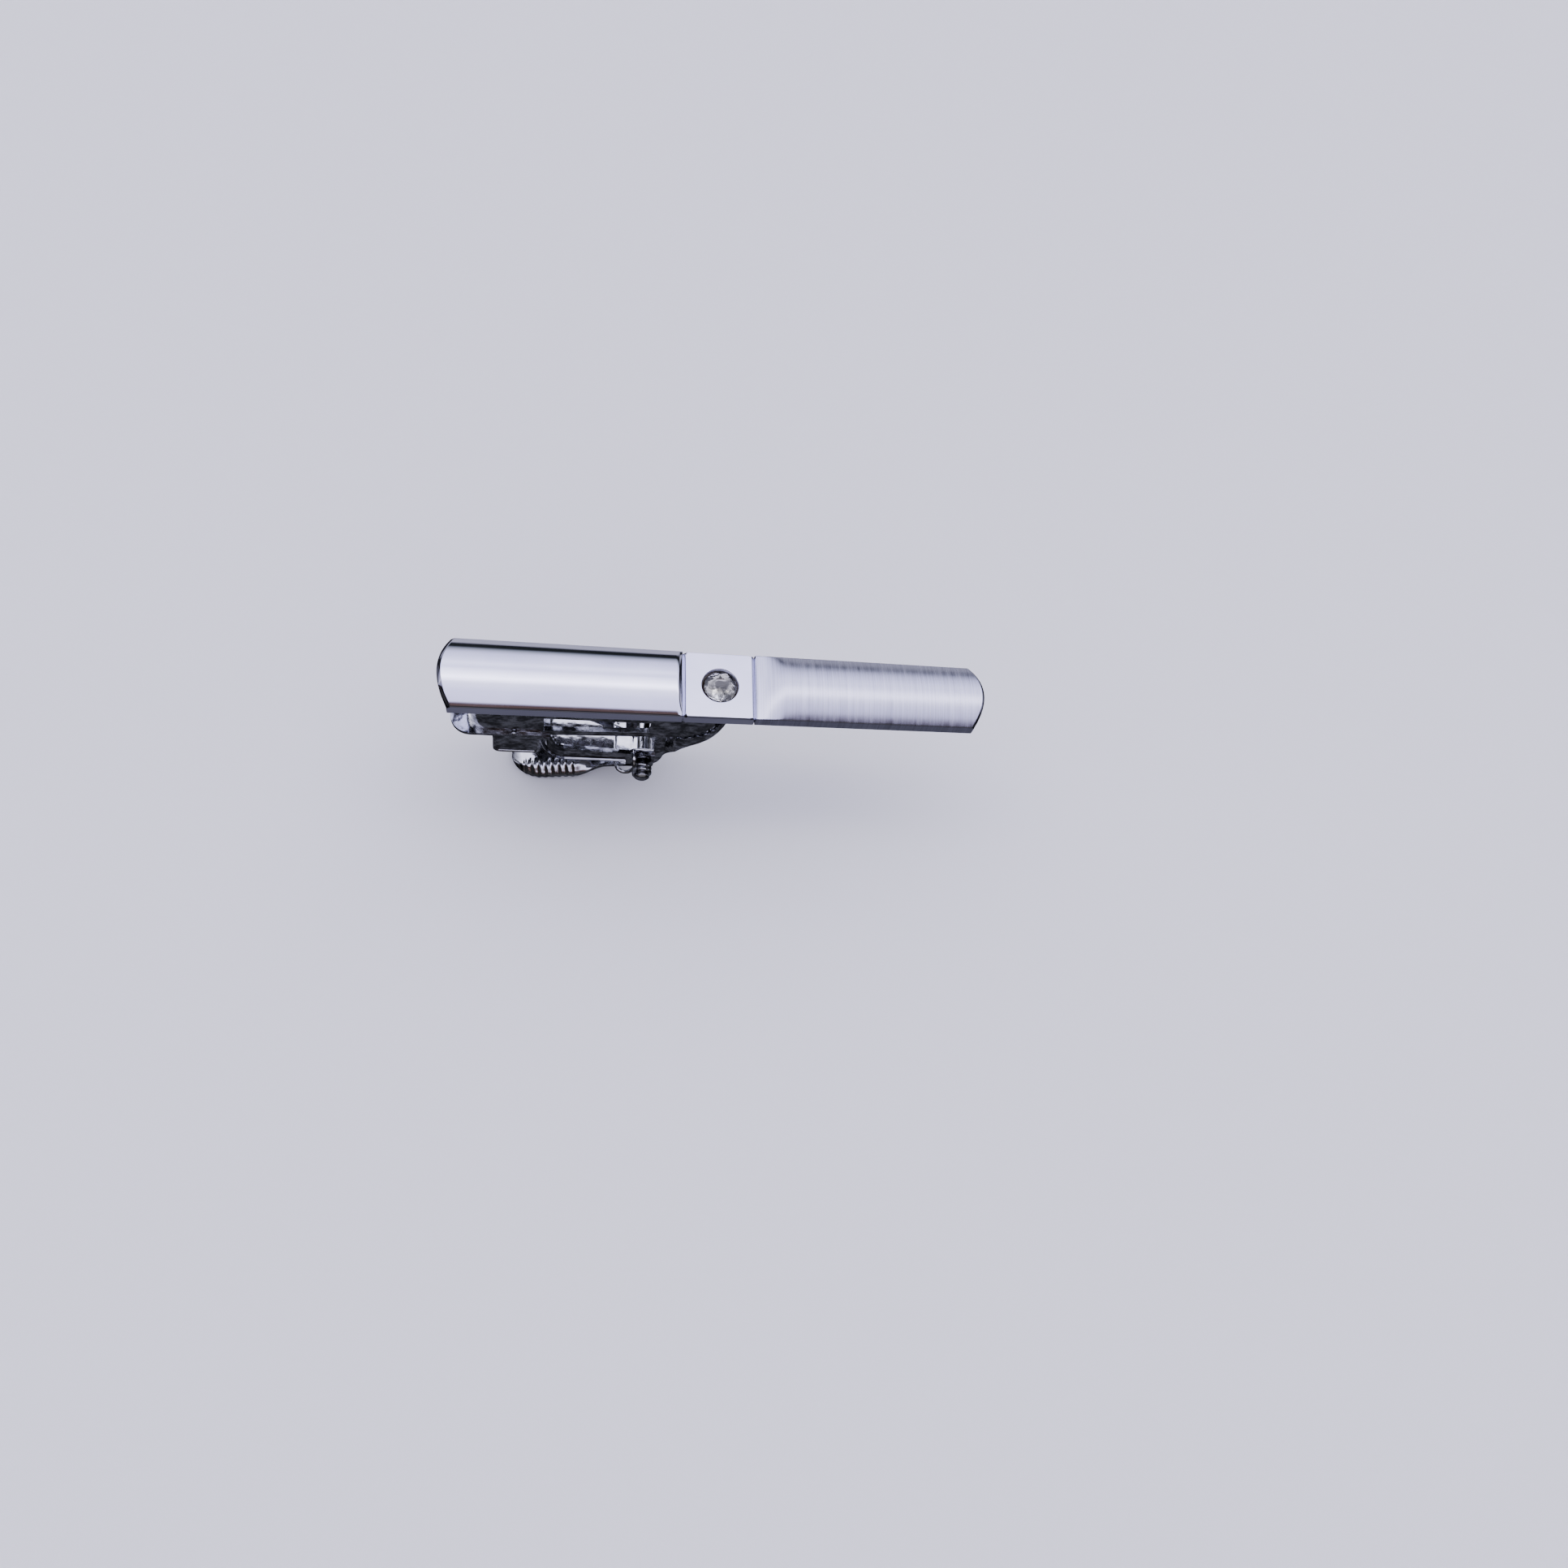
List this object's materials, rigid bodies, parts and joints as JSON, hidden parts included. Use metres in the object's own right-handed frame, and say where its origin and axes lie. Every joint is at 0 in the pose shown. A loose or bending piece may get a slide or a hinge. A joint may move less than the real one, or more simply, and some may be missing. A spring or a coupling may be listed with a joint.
{
  "type": "tie bar clip",
  "caption": "Slim tie bar with a mirror half, a crystal set in a square centre, a brushed half and a sprung toothed clasp behind.",
  "frame": {"origin": "centre of the object's outline on the plane of its lowest point, which is the tip of the thumb lever", "axes": "+X along the bar towards the brushed end, +Y across the bar, +Z out of the decorated front face"},
  "size_m": [0.0414, 0.0074, 0.0142],
  "materials": {
    "polished_plating": "mirror-polished rhodium-tone plating with fine handling marks",
    "brushed_plating": "satin, fine brush lines across the bar",
    "clasp_plating": "bright plated stamping, slightly mottled",
    "lever_plating": "bright plated stamping, ridged thumb pad",
    "pin_plating": "plated pin with peened ends",
    "spring_wire": "plated spring wire",
    "solder": "dull plated solder",
    "crystal": "clear faceted glass",
    "foil": "silvered foil behind the crystal"
  },
  "bodies": {
    "bar": {"polished_half": "polished_plating", "centre_block": "polished_plating", "brushed_half": "brushed_plating", "crystal": "crystal", "crystal_foil": "foil", "clasp_base": "clasp_plating", "solder_rear": "solder", "solder_front": "solder", "spring_cradle": "clasp_plating", "cradle_rivet_lower": "clasp_plating", "cradle_rivet_upper": "clasp_plating", "pivot_pin": "pin_plating", "spring_coil_lower": "spring_wire", "spring_coil_upper": "spring_wire"},
    "lever": {"lever": "lever_plating", "spring_bridge": "spring_wire"}
  },
  "joints": [
    {"name": "lever_pivot", "type": "hinge", "parent": "bar", "child": "lever", "pos_m": [-0.0049, 0, 0.00384], "axis": [0, 1, 0], "range_deg": [0, 17], "stiffness_Nm_per_rad": 0.00005, "springref_deg": -57.3}
  ]
}
